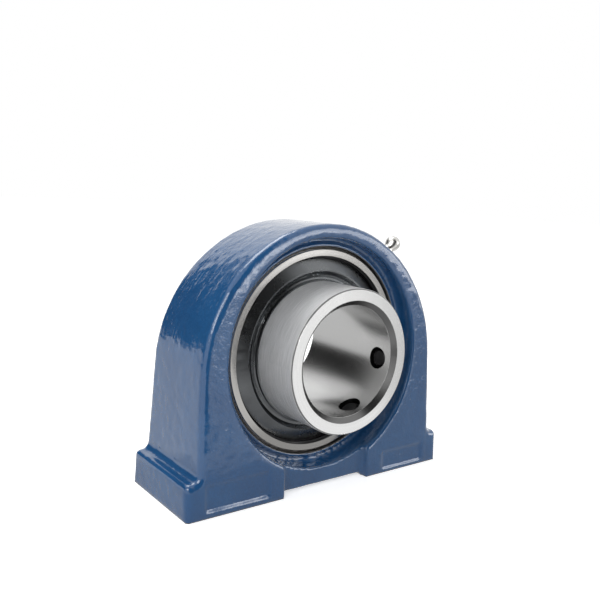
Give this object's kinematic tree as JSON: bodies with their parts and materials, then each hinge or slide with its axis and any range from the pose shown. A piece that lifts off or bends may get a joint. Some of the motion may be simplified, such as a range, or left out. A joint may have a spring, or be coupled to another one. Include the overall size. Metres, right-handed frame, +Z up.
{
  "type": "pillow block bearing",
  "caption": "Short-base pillow block bearing: arc-topped cast housing with tapped feet, holding a self-aligning ball bearing insert with a long inner ring, set screws and a grease fitting.",
  "frame": {"origin": "on the base plane, under the middle of the shaft and between the two bolt holes", "axes": "+X along the base, +Y along the shaft towards the short side of the inner ring, +Z up"},
  "size_m": [0.116, 0.0503, 0.0963],
  "materials": {
    "blue_paint": "gloss paint",
    "ground_steel": "ground",
    "ball_steel": "polished",
    "pressed_steel": "satin",
    "nitrile": "matte",
    "dark_sheet": "dark satin",
    "bright_plate": "bright plated",
    "spring_steel": "satin",
    "black_oxide": "black oxide"
  },
  "bodies": {
    "housing": {"housing": "blue_paint", "grease_fitting_body": "bright_plate", "grease_fitting_spring": "spring_steel"},
    "insert_outer": {"outer_ring": "ground_steel", "front_seal_shell": "pressed_steel", "rear_seal_shell": "pressed_steel", "front_seal_lip": "nitrile", "rear_seal_lip": "nitrile"},
    "insert_inner": {"inner_ring": "ground_steel", "front_slinger": "dark_sheet", "rear_slinger": "dark_sheet"},
    "cage": {"cage_front_half": "pressed_steel", "cage_rear_half": "pressed_steel", "cage_rivets": "pressed_steel"},
    "set_screw_1": {"set_screw_1": "black_oxide"},
    "set_screw_2": {"set_screw_2": "black_oxide"},
    "check_ball": {"grease_fitting_ball": "ball_steel"},
    "ball_1": {"ball_1": "ball_steel"},
    "ball_2": {"ball_2": "ball_steel"},
    "ball_3": {"ball_3": "ball_steel"},
    "ball_4": {"ball_4": "ball_steel"},
    "ball_5": {"ball_5": "ball_steel"},
    "ball_6": {"ball_6": "ball_steel"},
    "ball_7": {"ball_7": "ball_steel"},
    "ball_8": {"ball_8": "ball_steel"},
    "ball_9": {"ball_9": "ball_steel"}
  },
  "joints": [
    {"name": "align_tilt", "type": "hinge", "parent": "housing", "child": "insert_outer", "pos_m": [0, 0, 0.0492], "axis": [1, 0, 0], "range_deg": [-5, 5]},
    {"name": "shaft_spin", "type": "hinge", "parent": "insert_outer", "child": "insert_inner", "pos_m": [0, 0, 0.0492], "axis": [0, 1, 0], "continuous": true},
    {"name": "cage_spin", "type": "hinge", "parent": "insert_outer", "child": "cage", "pos_m": [0, 0, 0.0492], "axis": [0, 1, 0], "continuous": true},
    {"name": "ball_1_spin", "type": "hinge", "parent": "cage", "child": "ball_1", "pos_m": [0, 0, 0.0792], "axis": [0, 1, 0], "continuous": true},
    {"name": "ball_2_spin", "type": "hinge", "parent": "cage", "child": "ball_2", "pos_m": [0.01928, 0, 0.07218], "axis": [0, 1, 0], "continuous": true},
    {"name": "ball_3_spin", "type": "hinge", "parent": "cage", "child": "ball_3", "pos_m": [0.02954, 0, 0.05441], "axis": [0, 1, 0], "continuous": true},
    {"name": "ball_4_spin", "type": "hinge", "parent": "cage", "child": "ball_4", "pos_m": [0.02598, 0, 0.0342], "axis": [0, 1, 0], "continuous": true},
    {"name": "ball_5_spin", "type": "hinge", "parent": "cage", "child": "ball_5", "pos_m": [0.01026, 0, 0.02101], "axis": [0, 1, 0], "continuous": true},
    {"name": "ball_6_spin", "type": "hinge", "parent": "cage", "child": "ball_6", "pos_m": [-0.01026, 0, 0.02101], "axis": [0, 1, 0], "continuous": true},
    {"name": "ball_7_spin", "type": "hinge", "parent": "cage", "child": "ball_7", "pos_m": [-0.02598, 0, 0.0342], "axis": [0, 1, 0], "continuous": true},
    {"name": "ball_8_spin", "type": "hinge", "parent": "cage", "child": "ball_8", "pos_m": [-0.02954, 0, 0.05441], "axis": [0, 1, 0], "continuous": true},
    {"name": "ball_9_spin", "type": "hinge", "parent": "cage", "child": "ball_9", "pos_m": [-0.01928, 0, 0.07218], "axis": [0, 1, 0], "continuous": true},
    {"name": "set_screw_1_travel", "type": "slide", "parent": "insert_inner", "child": "set_screw_1", "axis": [-0.9945, 0, 0.1045], "range_m": [-0.002, 0.0008]},
    {"name": "set_screw_2_travel", "type": "slide", "parent": "insert_inner", "child": "set_screw_2", "axis": [-0.3746, 0, 0.9272], "range_m": [-0.002, 0.0008]},
    {"name": "check_ball_lift", "type": "slide", "parent": "housing", "child": "check_ball", "axis": [-0.7133, 0, -0.7009], "range_m": [0, 0.0008], "stiffness_N_per_m": 300, "springref_m": -0.001, "deforming": ["grease_fitting_spring"]}
  ],
  "couplings": [
    {"joint": "cage_spin", "follows": "shaft_spin", "ratio": 0.4},
    {"joint": "ball_1_spin", "follows": "shaft_spin", "ratio": -2.4},
    {"joint": "ball_2_spin", "follows": "shaft_spin", "ratio": -2.4},
    {"joint": "ball_3_spin", "follows": "shaft_spin", "ratio": -2.4},
    {"joint": "ball_4_spin", "follows": "shaft_spin", "ratio": -2.4},
    {"joint": "ball_5_spin", "follows": "shaft_spin", "ratio": -2.4},
    {"joint": "ball_6_spin", "follows": "shaft_spin", "ratio": -2.4},
    {"joint": "ball_7_spin", "follows": "shaft_spin", "ratio": -2.4},
    {"joint": "ball_8_spin", "follows": "shaft_spin", "ratio": -2.4},
    {"joint": "ball_9_spin", "follows": "shaft_spin", "ratio": -2.4}
  ]
}
